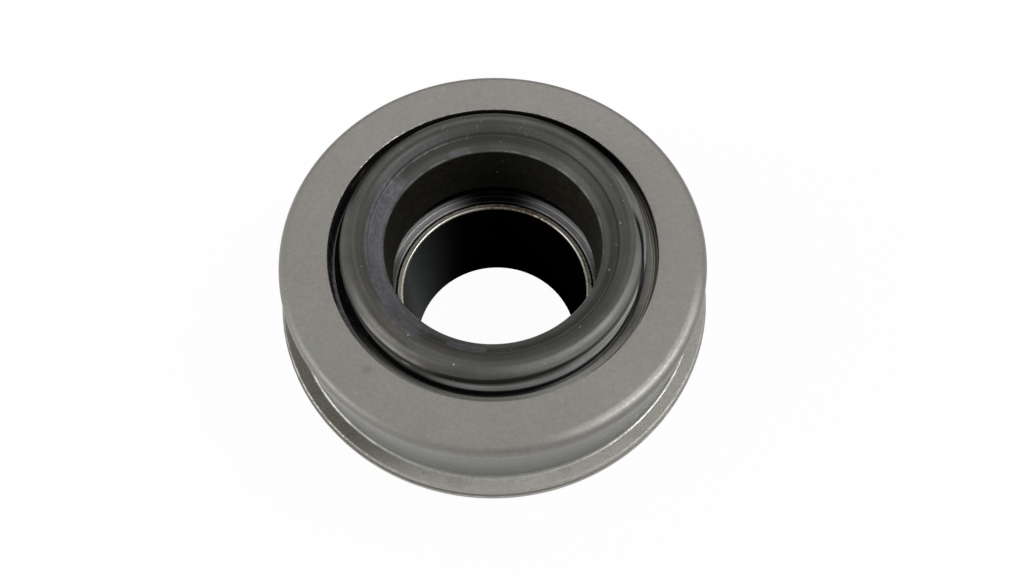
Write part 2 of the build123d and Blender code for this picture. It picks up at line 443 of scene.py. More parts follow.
for name, (middle, half, low, high) in studio["cards"].items():
    black = bpy.data.materials.new(name + " card")
    black.use_nodes = True
    tone = black.node_tree.nodes["Principled BSDF"].inputs["Base Color"]
    tone.default_value = (*[studio["cardTone"]] * 3, 1)
    left, right, depth = middle[0] - half, middle[0] + half, middle[1]
    corners = [(left, depth, low), (right, depth, low), (right, depth, high), (left, depth, high)]
    card = plane(name + "Card", name + " card", corners, black)
    card.visible_camera = False
    card.visible_diffuse = False
    card.visible_shadow = False

for name, (place, aim, sides, watts) in studio["panels"].items():
    panel = bpy.data.lights.new(name, "AREA")
    panel.shape = "RECTANGLE"
    panel.size, panel.size_y = sides
    panel.energy = watts
    lamp = bpy.data.objects.new(name, panel)
    lamp.location = place
    towards = Matrix.Translation(aim).translation - Matrix.Translation(place).translation
    lamp.rotation_euler = towards.to_track_quat("-Z", "Y").to_euler()
    lamp.visible_camera = False
    bpy.context.scene.collection.objects.link(lamp)
print("camera, floor and lights")


# Cover: one sheet with a face, a rounded corner, a wall and an outward flange

cover = {
    "turns": 720,
    "corner": 1.6, "foot": 0.65, "rim": 0.4, "edge": 0.1, "lowerRim": 0.06,
    "edgeRipple": 0.03,    # how uneven the punched opening's edge is
    "edgeSeed": 11, "edgeWaves": (9, 17, 31, 53, 79, 113, 151), "edgeWear": 0.16,
    "rimRipple": 0.02,
    "rimSeed": 12, "rimWaves": (13, 29, 47, 83, 127), "rimWear": (0.3, 0.5),
    "tan": [(18.07, 24.88, 0.42), (20.28, 22.72, 0.34), (26.12, 19.51, 0.3)],  # tan stains: x, y, size
    "smudge": (-18.5, -22.3, 0.6),
    "speck": (-10.7, -34.8, 0.25),
    "places": {"patina": (216, 26, 14), "corner": (318, 26, 12), "glint": (109, 61, 8)},
    "paints": {
        "face": (133, 130, 125), "wall": (124, 127, 121), "litWallFoot": (142, 144, 138),
        "corner": (200, 197, 191), "flange": (168, 165, 158), "patina": (112, 107, 99),
        "grit": (146, 142, 134), "patinaGrit": (88, 81, 72), "pink": (136, 127, 122),
        "green": (123, 131, 122), "pale": (176, 172, 164), "pits": (92, 88, 80), "tan": (128, 108, 84),
        "smudge": (78, 74, 68), "cutShade": (26, 25, 23), "bare": (172, 171, 165), "glint": (198, 195, 187),
    },
}


def makeCover():
    low, high = heights("cover_shell")
    opening, flange = radii("cover_shell")
    flangeTop = heights("cover_shell", flange - 1)[1]
    wall = radii("cover_shell", flangeTop + cover["foot"] - 0.01)[1]
    inner = radii("cover_shell", low - 0.01, low + 0.01)[0]
    sheet = flangeTop - low
    outline = rounded([
        (inner, low, 0), (flange, low, cover["lowerRim"]), (flange, flangeTop, cover["rim"]),
        (wall, flangeTop, cover["foot"]), (wall, high, cover["corner"]), (opening, high, cover["edge"]),
        (opening, high - sheet, cover["edge"]), (inner, high - sheet, cover["corner"] - sheet)])

    def stray(a, r, z):
        # the opening's edge is torn in and out, and the flange's rim is worn inwards
        across, along = cover["rimWear"]
        edge = np.exp(-((r - opening) / cover["edgeWear"]) ** 2) * (z > high - sheet)
        rim = np.exp(-((r - flange) / across) ** 2 - ((z - flangeTop) / along) ** 2)
        torn = ripple(a, cover["edgeSeed"], cover["edgeWaves"], cover["edgeRipple"])
        worn = ripple(a, cover["rimSeed"], cover["rimWaves"], cover["rimRipple"])
        return edge * np.maximum(torn, 0) - rim * np.maximum(worn, 0), edge * np.minimum(torn, 0)

    piece = lathe("cover", outline, cover["turns"], stray)
    f = Finish("cover steel", cover)
    # face, wall and flange, with painted light on the wall's lower part and on the flange; the flange with a
    # dark patina on its left
    onFlange = f.every(f.ease(f.height, flangeTop + 0.5, flangeTop + 0.05),
                       f.ease(f.radius, wall + 0.1, wall + 0.5))
    colour = f.mix(f.ease(f.height, high - 1.2, high - 2.6), "face", "wall")
    colour = f.mix(f.ease(f.height, flangeTop + 5, flangeTop + 0.5), colour, "litWallFoot")
    patina = f.sector("patina")
    colour = f.mix(onFlange, colour, f.mix(patina, "flange", "patina"))
    cloud = f.patchy((0.1, 3, 0.55), 0.3, 0.7, (0.975, 1.025))
    grain = f.noise(2.2, 5, 0.75)
    coarse = f.patchy((0.9, 3, 0.6), 0.3, 0.7, (0.97, 1.03))
    level = f.every(cloud, coarse, f.ease(grain, 0.3, 0.7, (0.9, 1.1)))
    # painted highlight on the rounded corner at the right
    corner = f.every(f.band(f.radius, wall - 1.9, wall - 0.7, 0.3), f.sector("corner"),
                     f.ease(f.height, high - 1.2, high - 0.9))
    colour = f.mix(f.every(corner, 0.55), colour, "corner")
    # faint clouds of colour, grit, pits and stains
    pink = f.ease(f.noise(0.3, 2, 0.5, warp=1.0), 0.5, 0.75, (0.0, 0.35))
    colour = f.mix(pink, colour, "pink")
    colour = f.mix(f.patchy((0.45, 2, 0.5), 0.56, 0.75, (0.0, 0.3)), colour, "green")
    gritty = f.every(onFlange, f.patchy((2.6, 3, 0.7), 0.48, 0.6))
    colour = f.mix(f.every(gritty, 0.6), colour, f.mix(patina, "grit", "patinaGrit"))
    colour = f.mix(f.patchy((3.1, 2, 0.5), 0.7, 0.76, (0.0, 0.5)), colour, "pale")
    pits = f.ease(f.noise(2.7, 2, 0.5, warp=0.4), 0.3, 0.25, (0.0, 0.45))
    colour = f.mix(pits, colour, "pits")
    tan = f.every(f.any(*[f.spot(*stain) for stain in cover["tan"]]), f.ease(f.height, high - 0.3, high))
    colour = f.mix(f.every(tan, 0.6), colour, "tan")
    dark = f.any(f.spot(*cover["smudge"], 0.8), f.spot(*cover["speck"]))
    colour = f.mix(f.every(dark, 0.35), colour, "smudge")
    # bare metal at the wall's foot, the rim and the flange's lower edge
    foot = f.every(f.band(f.radius, wall + 0.28, wall + 0.62, 0.05),
                   f.ease(f.height, flangeTop + 0.3, flangeTop + 0.2))
    rim = f.every(f.band(f.radius, flange - 0.34, flange - 0.04, 0.08),
                  f.patchy((2.2, 4, 0.7), 0.3, 0.6, (0.3, 1.0)))
    lower = f.band(f.height, flangeTop - sheet - 0.1, flangeTop - sheet + 0.14, 0.05)
    bare = f.every(f.any(foot, rim, lower), f.patchy((0.5, 3, 0.6), 0.35, 0.6, (0.55, 1.0)))
    # the punched edge: painted shade below, a painted glint at the back
    punched = f.every(f.ease(f.radius, opening + 0.14, opening + 0.06),
                      f.ease(f.height, high - sheet - 0.2, high - sheet))
    colour = f.mix(f.every(punched, f.ease(f.height, high - 0.12, high - 0.3)), colour, "cutShade")
    glint = f.every(punched, f.ease(f.height, high - 0.16, high - 0.08), f.sector("glint"),
                    f.patchy((1.1, 3, 0.7), 0.4, 0.6))
    colour = f.mix(bare, colour, "bare")
    colour = f.mix(glint, colour, "glint")
    metal = f.any(f.every(bare, 0.45), glint, 0.16)
    rough = f.minus(f.patchy((1.0, 2), 0.3, 0.7, (0.36, 0.46)), f.every(f.any(bare, glint), 0.12))
    bump = f.bump(grain, 0.4, 0.03)
    return piece, f.done(colour=f.shade(colour, level), metal=metal, normal=bump, rough=rough, specular=0.5)


# Hub: the tube, the dished web and the plate below the cover's flange, turned as one

hub = {
    "turns": 540,
    "tubeEdge": 0.22, "tubeFoot": 0.3, "dishEdge": 0.1, "fillet": 1.5, "rounding": 0.8, "stepFillet": 0.5,
    "upperRim": 0.12,
    "rimSeed": 21, "rimWaves": (11, 23, 41, 67, 101), "rimRipple": 0.02, "rimWear": 0.3,
    "places": {
        "hatch": (25, 22, 10), "paintedLightRight": (45, 28, 10), "paintedLightLeft": (135, 26, 10), "shadow": (91, 20, 12),
        "split": (150, 45, 10),
    },
    "paints": {
        "plate": (124, 121, 114), "ring": (104, 104, 103), "paintedLight": (176, 176, 176), "hatch": (190, 190, 190),
        "shadow": (8, 8, 8), "groove": (7, 7, 7), "bare": (178, 176, 170),
    },
}


def makeHub():
    low, plateTop = heights("carrier_hub")
    bore, rim = radii("carrier_hub")
    tube = radii("carrier_hub", low, low + 5)[1]
    tubeTop = heights("carrier_hub", bore, tube)[1]
    dish = radii("carrier_hub", tubeTop + 0.2, plateTop - hub["rounding"] + 0.01)[0]
    dishTop = heights("carrier_hub", tube + 0.1, dish + 0.1)[1]
    webLow = heights("carrier_hub", tube + hub["fillet"] - 0.01, dish + 0.5)[0]
    step = radii("carrier_hub", webLow, webLow + 1)[1]
    plateLow = heights("carrier_hub", step + 1)[0]
    outline = rounded([
        (bore, low, hub["tubeFoot"]), (tube, low, hub["tubeFoot"]), (tube, webLow, hub["fillet"]),
        (step, webLow, hub["rounding"]), (step, plateLow, hub["stepFillet"]),
        (rim, plateLow, hub["rounding"]), (rim, plateTop, hub["upperRim"]), (dish, plateTop, hub["rounding"]),
        (dish, dishTop, hub["dishEdge"]), (tube, dishTop, hub["dishEdge"]),
        (tube, tubeTop, hub["tubeEdge"]), (bore, tubeTop, hub["tubeEdge"])])

    def stray(a, r, z):
        # the plate's upper rim is worn inwards
        edge = np.exp(-((r - rim) / hub["rimWear"]) ** 2 - ((z - plateTop) / hub["rimWear"]) ** 2)
        return -edge * np.maximum(ripple(a, hub["rimSeed"], hub["rimWaves"], hub["rimRipple"]), 0), 0

    piece = lathe("hub", outline, hub["turns"], stray)
    f = Finish("hub steel", hub)
    level = f.every(f.ease(f.turned(4.0, 0.4), 0.3, 0.7, (0.88, 1.12)),
                    f.patchy((2.4, 4, 0.7), 0.3, 0.7, (0.88, 1.12)))
    # the tube's ring-shaped end: painted light at the right and left, painted shadow at the back
    inside = f.ease(f.radius, tube + 1, tube + 0.2)
    colour = f.mix(inside, "plate", "ring")
    hatch = f.every(f.ease(f.noise(1.0, 2, 0.6, f.slanted(5.0, 1.2)), 0.5, 0.62), f.sector("hatch"))
    paintedLight = f.every(inside, f.any(f.sector("paintedLightRight"), f.sector("paintedLightLeft")))
    colour = f.mix(f.every(paintedLight, 0.85), colour, "paintedLight")
    colour = f.mix(f.every(inside, hatch, 0.5), colour, "hatch")
    colour = f.mix(f.every(inside, f.sector("shadow")), colour, "shadow")
    # dark lines: painted shade along the bore's edge and in the gap round the tube, and a dark line that
    # splits the ring at the left
    thinLine = f.band(f.radius, tube - 0.6, tube - 0.46, 0.06)
    split = f.every(f.any(thinLine, f.ease(f.radius, tube - 0.3, tube, (0.0, 0.8))), f.sector("split"), 0.8)
    boreEdge = f.ease(f.radius, bore + 0.26, bore + 0.16)
    groove = f.every(f.any(boreEdge, f.band(f.radius, tube - 0.08, dish + 0.1, 0.05), split),
                     f.ease(f.height, dishTop - 0.4, dishTop - 0.1))
    colour = f.mix(groove, colour, "groove")
    edge = f.every(f.ease(f.radius, rim - 0.3, rim - 0.1),
                   f.band(f.height, plateTop - 0.45, plateTop - 0.04, 0.05))
    bare = f.every(edge, f.patchy((0.9, 3, 0.6), 0.36, 0.6, (0.3, 0.8)))
    colour = f.mix(bare, colour, "bare")
    rough = f.ease(f.turned(3.0), 0.3, 0.7, (0.34, 0.46))
    bump = f.bump(f.turned(5.0, 0.3), 0.25, 0.02)
    return piece, f.done(colour=f.shade(colour, level), metal=f.any(bare, 0.3), rough=rough, normal=bump)


# Lining bush in the tube, with a bright lead-in, worn and with a painted highlight, and a dark sliding layer

bush = {
    "turns": 720, "leadIn": 0.3, "edge": 0.1,
    "places": {
        "litLeft": (156, 36, 14), "litRight": (42, 16, 8), "copper": (74, 24, 8),
        "broadRight": (44, 22, 12), "broadLeft": (136, 30, 14), "dimRight": (0, 16, 14),
        "dimBack": (90, 12, 10), "smearAndSheen": (168, 16, 44),
    },
    "paints": {
        "pits": (70, 66, 56), "end": (186, 180, 160), "light": (216, 212, 200), "copper": (122, 78, 54),
        "worn": (226, 222, 212), "outerEdge": (12, 12, 11), "layer": (7, 7, 7), "smearAndSheen": (96, 102, 98),
    },
}


def makeBush():
    low, high = heights("liner_bush")
    bore, outer = radii("liner_bush")
    edge = bush["edge"]
    outline = rounded([
        (bore, low, edge), (outer, low, edge), (outer, high, edge), (bore, high, bush["leadIn"])], step=0.06)
    piece = lathe("bush", outline, bush["turns"])
    f = Finish("bush lining", bush)
    # the end: speckled, with painted light in two places, with the copper layer showing in one
    endColour = f.mix(f.patchy((3.2, 4, 0.75), 0.4, 0.54), "pits", "end")
    light = f.any(f.sector("litLeft"), f.sector("litRight"))
    endColour = f.mix(f.every(light, 0.3), endColour, "light")
    copper = f.every(f.sector("copper"), f.patchy((1.1, 3, 0.6), 0.4, 0.56),
                     f.ease(f.radius, bore + 0.7, bore + 0.45))
    copper = f.every(copper, 0.8)
    endColour = f.mix(copper, endColour, "copper")
    # the bright lead-in, worn and with a painted highlight: broader where broad is above 0, dimmer at the
    # right and the back
    broad = f.ease(f.any(f.sector("broadRight"), f.sector("broadLeft")), 0.0, 1.0, (0.0, 0.24))
    lead = f.every(f.ease(f.minus(f.radius, broad), bore + 0.3, bore + 0.22),
                   f.ease(f.height, high - 0.3, high - 0.22))
    lead = f.every(lead, f.ease(f.any(f.sector("dimRight"), f.sector("dimBack")), 0.0, 1.0, (1.0, 0.5)))
    worn = f.every(lead, f.patchy((0.8, 3, 0.6), 0.3, 0.42, (0.3, 1.0)), f.minus(1.0, copper))
    endColour = f.mix(worn, endColour, "worn")
    # painted shade at the end's outer edge, in the gap against the tube
    endColour = f.mix(f.ease(f.radius, outer - 0.42, outer - 0.3), endColour, "outerEdge")
    # the sliding layer in the bore, with a grease smear and a painted sheen at the left
    smearAndSheen = f.every(f.sector("smearAndSheen"), f.patchy((1.4, 3, 0.6), 0.2, 0.8, (0.75, 1.0)))
    end = f.ease(f.height, high - 0.36, high - 0.26)
    colour = f.mix(end, f.mix(smearAndSheen, "layer", "smearAndSheen"), endColour)
    metal = f.any(f.every(end, f.plus(0.35, f.every(worn, 0.45))), f.every(smearAndSheen, 0.2))
    return piece, f.done(colour=colour, metal=metal, rough=f.minus(0.5, f.every(worn, 0.2)),
                         specular=0.0, normal=f.bump(f.noise(4, 3, 0.7), 0.3, 0.03))


# Nose: the turning inner ring, whose rounded crest meets the diaphragm spring's fingers

nose = {
    "turns": 540,
    "shoulder": 2.4, "crest": 2.0, "cone": 41.0, "lip": 0.3, "rear": 0.4,
    "lineSetback": 2.2, "lineWidth": 0.28, "lineDepth": 0.2, "lineEdge": 0.03,
    "raceEasing": 0.159, "rollingGap": 0.04, "contact": 35.0,
    "outside": (22.6, 23.0),   # the flank's wear and painted light and shade set in between these radii, clear of the bore's lip
    "rubbed": (21.2, 22.6),    # outwards of these radii the steel is polished
    "raceSteps": 40,
    "tones": [             # grey level of the blackened steel at each radius
        (17.87, 78), (18.3, 74), (18.9, 72), (19.4, 66), (19.85, 66), (20.0, 74), (20.12, 66), (20.28, 64),
        (20.7, 80), (21.2, 80), (21.9, 70), (22.5, 78), (23.1, 86), (23.7, 88), (24.2, 88), (24.8, 88),
    ],
    "leans": {             # degrees of lean between which a mark sets in: from none to full
        "foot": (2, -10), "sheen": (86, 70), "worn": (-62, -44), "down": (20, -30), "leftFoot": (12, -4),
        "glow": (42, 32), "right": (84, 76), "behind": (68, 54), "trail": (4, -4),
    },
    "leanBands": {"glow": (24, 44, 7), "aboveGlow": (56, 80, 7)},   # lower and upper lean, softness
    "bands": {             # inner and outer radius, softness
        "rust": (20.8, 24.5, 0.6), "smears": (18.6, 21.6, 0.5), "streaks": (24.35, 24.78, 0.05),
    },
    "behind": {"backRight": 0.85, "backLeft": 0.8, "back": 0.35},   # how dark the painted reflection on the shoulder is at the back
    "greases": {"patch": 0.6, "blotch": 0.55, "smears": 0.6, "haze": 0.5},   # how much each covers
    "tears": {             # scale, amount and softness of the noise that tears each outline
        "film": (0.4, 0.35, 0.3), "patch": (1.2, 0.3, 0.06), "blotch": (1.4, 0.34, 0.06),
        "smears": (0.8, 0.3, 0.3),
    },
    "specks": [            # x, y, size
        (20.61, 2.35, 0.14), (18.57, -5.59, 0.15), (13.52, -15.97, 0.15), (-5.28, -22.41, 0.15),
        (-12.30, -17.74, 0.17), (19.4, 9.3, 0.08), (21.2, 6.1, 0.08), (-20.4, -6.3, 0.1), (3.1, -19.2, 0.09),
    ],
    "hairs": [             # x, y, direction, length, width
        (-6.08, 22.69, 100, 1.2, 0.08), (-5.3, 22.5, 84, 1.0, 0.07), (-3.12, 20.88, 118, 0.9, 0.08),
        (-2.4, 22.0, 64, 1.1, 0.07), (-4.95, 19.49, 75, 0.9, 0.08), (4.32, 20.78, 38, 1.0, 0.08),
        (5.3, 19.9, 128, 0.8, 0.07), (0.92, 19.13, 150, 0.8, 0.07), (-8.9, 20.3, 60, 1.0, 0.08),
        (4.9, 21.6, 96, 1.0, 0.07),
    ],
    "places": {
        "sheen": (305, 54, 12), "worn": (317, 63, 14), "bright": (326, 24, 14), "leftFoot": (229, 11, 8),
        "glow": (229, 13, 8), "aboveGlow": (229, 14, 10), "right": (17, 12, 6), "backRight": (54, 20, 9),
        "backLeft": (146, 22, 7), "back": (98, 26, 8), "trail": (346, 24, 6), "rust": (230, 22, 14),
        "olive": (288, 38, 5), "film": (184, 38, 14), "haze": (137, 24, 12), "patch": (110, 6, 5),
        "blotch": (259, 9, 5), "smears": (226, 12, 8), "border": (148, 40, 10), "wetGlint": (239, 1.6, 1.0),
        "streaks": (14, 16, 6), "shaded": (88, 14, 32),
    },
    "paints": {
        "foot": (84, 84, 81), "sheen": (124, 125, 123), "wornTopHighlight": (146, 147, 145),
        "wornFootHighlight": (206, 207, 206), "brightTop": (184, 185, 183), "brightFoot": (230, 231, 230),
        "leftFoot": (116, 116, 113),
        "glowTop": (142, 143, 142), "glowFoot": (176, 177, 176), "aboveGlow": (52, 52, 50),
        "right": (122, 123, 120), "behind": (10, 10, 10), "deep": (14, 14, 15), "trail": (14, 15, 20),
        "rust": (98, 84, 76), "olive": (34, 34, 27), "lip": (124, 126, 124), "thinGrease": (104, 105, 110),
        "thickGrease": (118, 119, 125), "border": (136, 137, 140), "light": (178, 180, 182),
        "bore": (30, 28, 20), "boreSpots": (41, 39, 30), "boreShade": (9, 9, 6), "dust": (112, 110, 100),
    },
}


def noseOutline():
    # the ring's outline, with the cone z = top - (edge - r) tan 41 and the raceway's arc turned to the balls
    rear, top = heights("nose_ring")
    bore, flank = radii("nose_ring")
    land = radii("nose_ring", rear, rear + nose["rear"] + 0.01)[1]
    ballLow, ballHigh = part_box("ball_01")
    ballPlace, ballRadius = (ballLow + ballHigh) / 2 / mm, (ballHigh.z - ballLow.z) / 2 / mm
    slope = math.tan(math.radians(nose["cone"]))
    edge = flank - nose["shoulder"] - nose["crest"] * math.tan(math.radians(nose["cone"] / 2))

    def cone(r):
        return top - (edge - r) * slope

    line = flank - nose["shoulder"] - nose["lineSetback"]
    left, right = line - nose["lineWidth"] / 2, line + nose["lineWidth"] / 2
    shift = nose["raceEasing"] - nose["rollingGap"]
    raceRadius = ballRadius + nose["raceEasing"]
    raceCentre = (ballPlace.x + shift * math.cos(math.radians(nose["contact"])),
                  ballPlace.z - shift * math.sin(math.radians(nose["contact"])))
    high = math.degrees(math.acos((raceCentre[0] - flank) / raceRadius))
    low = math.degrees(math.acos((raceCentre[0] - land) / raceRadius))
    race = arcPoints(raceCentre, raceRadius, 180 - high, 180 + low, nose["raceSteps"])
    outline = rounded([
        (bore, rear, nose["rear"]), (bore, cone(bore), nose["lip"]),
        (left, cone(left), nose["lineEdge"]), (line, cone(line) - nose["lineDepth"], nose["lineEdge"]),
        (right, cone(right), nose["lineEdge"]), (edge, top, nose["crest"]), (flank, top, nose["shoulder"]),
        *[(r, z, 0) for r, z in race], (land, rear, nose["rear"])], step=0.09)
    return outline, (rear, top, cone(bore)), (bore, line, flank)


def flankWearAndLight(f, colour, top, flank):
    # marks on the rounded shoulder and the flank, wear as well as painted light and shade, placed by two
    # angles in degrees: lean, which is 90 where the shoulder faces up, 0 outwards and below 0 down the flank,
    # and past, the way round from azimuth 300
    shoulder = nose["shoulder"]
    lean = f.degrees(f.minus(f.height, top - shoulder), f.minus(f.radius, flank - shoulder))
    past = f.past(300)
    outside = f.ease(f.radius, *nose["outside"])

    def leaning(name):
        return f.ease(lean, *nose["leans"][name])

    def leanBand(name):
        return f.band(lean, *nose["leanBands"][name])

    foot = leaning("foot")
    colour = f.mix(foot, colour, "foot")

    # dipped is the lean above a line that climbs round the ring, lean - (0.3 past + 33). The painted sheen
    # sets in above that line, from wide to 4 wide, and the worn flank with its painted highlight below it,
    # from -4 to reach
    dipped = f.minus(lean, f.plus(f.every(past, 0.3), 33.0))
    wide = f.ease(past, -30, 10, (8.0, 2.2))
    sheen = f.every(f.sector("sheen"), f.ease(dipped, wide, f.every(wide, 4.0)), leaning("sheen"),
                    outside, 0.85)
    colour = f.mix(sheen, colour, f.shade("sheen", f.ease(past, -45, 0, (0.42, 1.0))))
    reach = f.ease(past, -30, 15, (-46.0, -18.0))
    worn = f.every(f.ease(dipped, reach, -4, (1.0, 0.0)), leaning("worn"), f.sector("worn"), outside)
    down = leaning("down")
    # painted highlight on the worn flank, lighter down the flank and in the bright place at the right
    bright = f.mix(down, "brightTop", "brightFoot")
    flankTone = f.mix(f.sector("bright"), f.mix(down, "wornTopHighlight", "wornFootHighlight"), bright)
    brushed = f.ease(f.noise(1.0, 3, 0.6, f.slanted(3.0, 0.03)), 0.3, 0.5, (0.8, 1.0))
    colour = f.mix(f.every(worn, brushed), colour, flankTone)

    # the left side: painted light on the foot, a painted highlight on the shoulder and painted shade above
    # it; then painted light at the right end
    colour = f.mix(f.every(f.sector("leftFoot"), leaning("leftFoot"), outside), colour, "leftFoot")
    glow = f.every(f.sector("glow"), leanBand("glow"))
    colour = f.mix(glow, colour, f.mix(leaning("glow"), "glowTop", "glowFoot"))
    colour = f.mix(f.every(f.sector("aboveGlow"), leanBand("aboveGlow"), 0.6), colour, "aboveGlow")
    colour = f.mix(f.every(f.sector("right"), leaning("right"), outside), colour, "right")
    # painted dark reflection on the shoulder at the back
    behind = f.any(*[f.every(f.sector(place), share) for place, share in nose["behind"].items()])
    behind = f.every(behind, leaning("behind"), outside)
    colour = f.mix(behind, colour, "behind")
    # painted shade deep down the flank, in the gap to the seal
    deep = f.ease(f.height, top - shoulder - 2.4, top - shoulder - 3.1)
    colour = f.mix(deep, colour, "deep")

    # the dark trail on the right, a painted dark reflection: along is the lean above its upper edge, lean -
    # (1.6 past + an offset), and above is 1 over its lower edge, which runs 60 to 16 degrees further down
    along = f.minus(lean, f.plus(f.every(past, 1.6), f.ease(past, 22, 42, (-76.0, -30.0))))
    above = f.ease(f.plus(along, f.ease(past, 38, 52, (60.0, 16.0))), -4, 4)
    trail = f.every(f.ease(along, *nose["leans"]["trail"]), above, f.sector("trail"), outside, 0.93)
    colour = f.mix(trail, colour, "trail")
    rust = f.every(f.sector("rust"), f.band(f.radius, *nose["bands"]["rust"]),
                   f.patchy((0.6, 3, 0.6), 0.42, 0.62, (0.0, 0.4)))
    colour = f.mix(rust, colour, "rust")
    # the olive line, a painted dark reflection between sheen and worn flank, where dipped is near 0
    olive = f.every(f.sector("olive"), f.ease(f.sum("ABSOLUTE", dipped), wide, f.plus(wide, 7.0), (1.0, 0.0)),
                    f.ease(past, 18, -5, (0.2, 0.9)), outside)
    colour = f.mix(olive, colour, "olive")
    rubbed = f.every(f.ease(f.radius, *nose["rubbed"]), f.minus(1.0, f.any(foot, worn, glow, sheen)))
    return colour, rubbed, (trail, behind)


def greaseCone(f, colour, bore, line, front):
    # film, haze, patch, blotch and smears of bluish grease, and a pale border inside the turned line
    bands = {               # inner radius, outer radius, softness
        "film": (bore + 0.25, line + 0.35, 0.25), "haze": (line - 0.1, line + 1.0, 0.4),
        "patch": (bore + 0.1, bore + 1.0, 0.25), "blotch": (bore + 0.9, line - 0.2, 0.4),
        "smears": nose["bands"]["smears"], "border": (line - 0.34, line - 0.1, 0.08),
    }
    mark = {name: f.every(f.sector(name), f.band(f.radius, *band)) for name, band in bands.items()}
    for name, noise in nose["tears"].items():
        mark[name] = f.torn(mark[name], *noise)
    parts = [f.every(mark[name], share) for name, share in nose["greases"].items()]
    grease = f.every(f.any(mark["film"], *parts), front)
    thick = f.noise(1.6, 4, 0.65, warp=0.6)
    tint = f.mix(f.ease(thick, 0.3, 0.7), "thinGrease", "thickGrease")
    colour = f.mix(f.every(grease, f.patchy((0.8, 3, 0.6), 0.3, 0.7, (0.6, 0.95))), colour, tint)
    border = f.every(mark["border"], f.patchy((0.5, 3, 0.6), 0.36, 0.6), front)
    return f.mix(f.every(border, 0.5), colour, "border"), grease, thick


def makeNose():
    outline, (rear, top, lip), (bore, line, flank) = noseOutline()
    piece = lathe("nose", outline, nose["turns"])
    f = Finish("black steel", nose)
    width = flank - bore
    stops = [((r - bore) / width, paint(level + 1, level + 1, level - 3)) for r, level in nose["tones"]]
    colour = f.ramp(f.sum("DIVIDE", f.minus(f.radius, bore), width), stops)
    colour, rubbed, dark = flankWearAndLight(f, colour, top, flank)
    front = f.ease(f.height, lip + 0.1, lip - 0.1, (1.0, 0.0))
    lipWear = f.every(f.band(f.radius, bore + 0.05, bore + 0.32, 0.08),
                      f.patchy((0.5, 3, 0.6), 0.45, 0.6), front)
    colour = f.mix(f.every(lipWear, 0.5), colour, "lip")
    colour, grease, thick = greaseCone(f, colour, bore, line, front)

    # small light marks: a painted glint on wet grease, specks, streaks, dots and hairs
    wetGlint = f.every(f.sector("wetGlint"), f.band(f.height, top - 3.2, top - 2.5, 0.2), f.ease(f.radius, 24.3, 24.5))
    streaks = f.every(f.sector("streaks"), f.band(f.radius, *nose["bands"]["streaks"]),
                      f.ease(f.noise(1.0, 2, 0.5, f.slanted(7, 0.12)), 0.56, 0.64))
    dots = f.patchy((2.3, 2, 0.5), 0.745, 0.77)
    specks = f.any(*[f.spot(*speck) for speck in nose["specks"]])
    hairs = f.any(*[f.stroke(*hair) for hair in nose["hairs"]])
    light = f.any(wetGlint, f.every(specks, 0.6), f.every(f.any(streaks, dots), 0.6), f.every(hairs, 0.3))
    colour = f.mix(f.every(light, front), colour, "light")

    # the wall of the bore, darker at the back, with dust
    inside = f.every(f.ease(f.radius, bore + 0.06, bore + 0.02), f.ease(f.height, lip, lip - 0.2))
    shaded = f.every(f.sector("shaded"), f.ease(f.height, lip - 2, rear, (0.55, 1.0)))
    wall = f.mix(f.patchy((0.7, 4, 0.7), 0.35, 0.65), "bore", "boreSpots")
    colour = f.mix(inside, colour, f.mix(shaded, wall, "boreShade"))
    dust = f.every(inside, f.patchy((1.7, 2, 0.5), 0.71, 0.75), f.patchy((0.2, 2), 0.4, 0.6))
    colour = f.mix(dust, colour, "dust")
    level = f.every(f.ease(f.turned(2.2, 0.5), 0.3, 0.7, (0.88, 1.12)),
                    f.patchy((0.25, 2), 0.3, 0.7, (0.93, 1.07)),
                    f.patchy((2.5, 4, 0.7), 0.3, 0.7, (0.92, 1.08)))
    ground = f.bump(f.turned(3.5, 0.4), 0.15, 0.02)
    bump = f.bump(f.every(grease, f.plus(0.6, thick)), 0.3, 0.08, ground)
    rough = f.minus(f.ease(f.turned(1.5), 0.3, 0.7, (0.36, 0.46)), f.every(grease, 0.1))
    rough = f.any(f.minus(rough, f.every(rubbed, 0.03)), inside, *dark)
    metal = f.ease(rubbed, 0.0, 1.0, (0.1, 0.6))
    return piece, f.done(colour=f.shade(colour, level), metal=metal, rough=rough, normal=bump, specular=0.12)


# Seals

seal = {
    "turns": 540, "edge": 0.05,
    "places": {
        "litSide": (335, 45, 18), "wallLight": (354, 16, 8), "wallShade": (314, 22, 10),
        "back": (90, 62, 12), "oilyShade": (184, 38, 12),
    },
    "paints": {
        "bevel": (150, 152, 144), "litBevel": (208, 206, 198), "flat": (112, 98, 80),
        "wallLight": (248, 246, 238), "wallShade": (118, 118, 115), "foot": (20, 20, 19),
        "back": (16, 16, 15), "oilyShade": (34, 35, 35), "oilStreakReflections": (120, 122, 118), "rear": (34, 34, 33),
    },
}


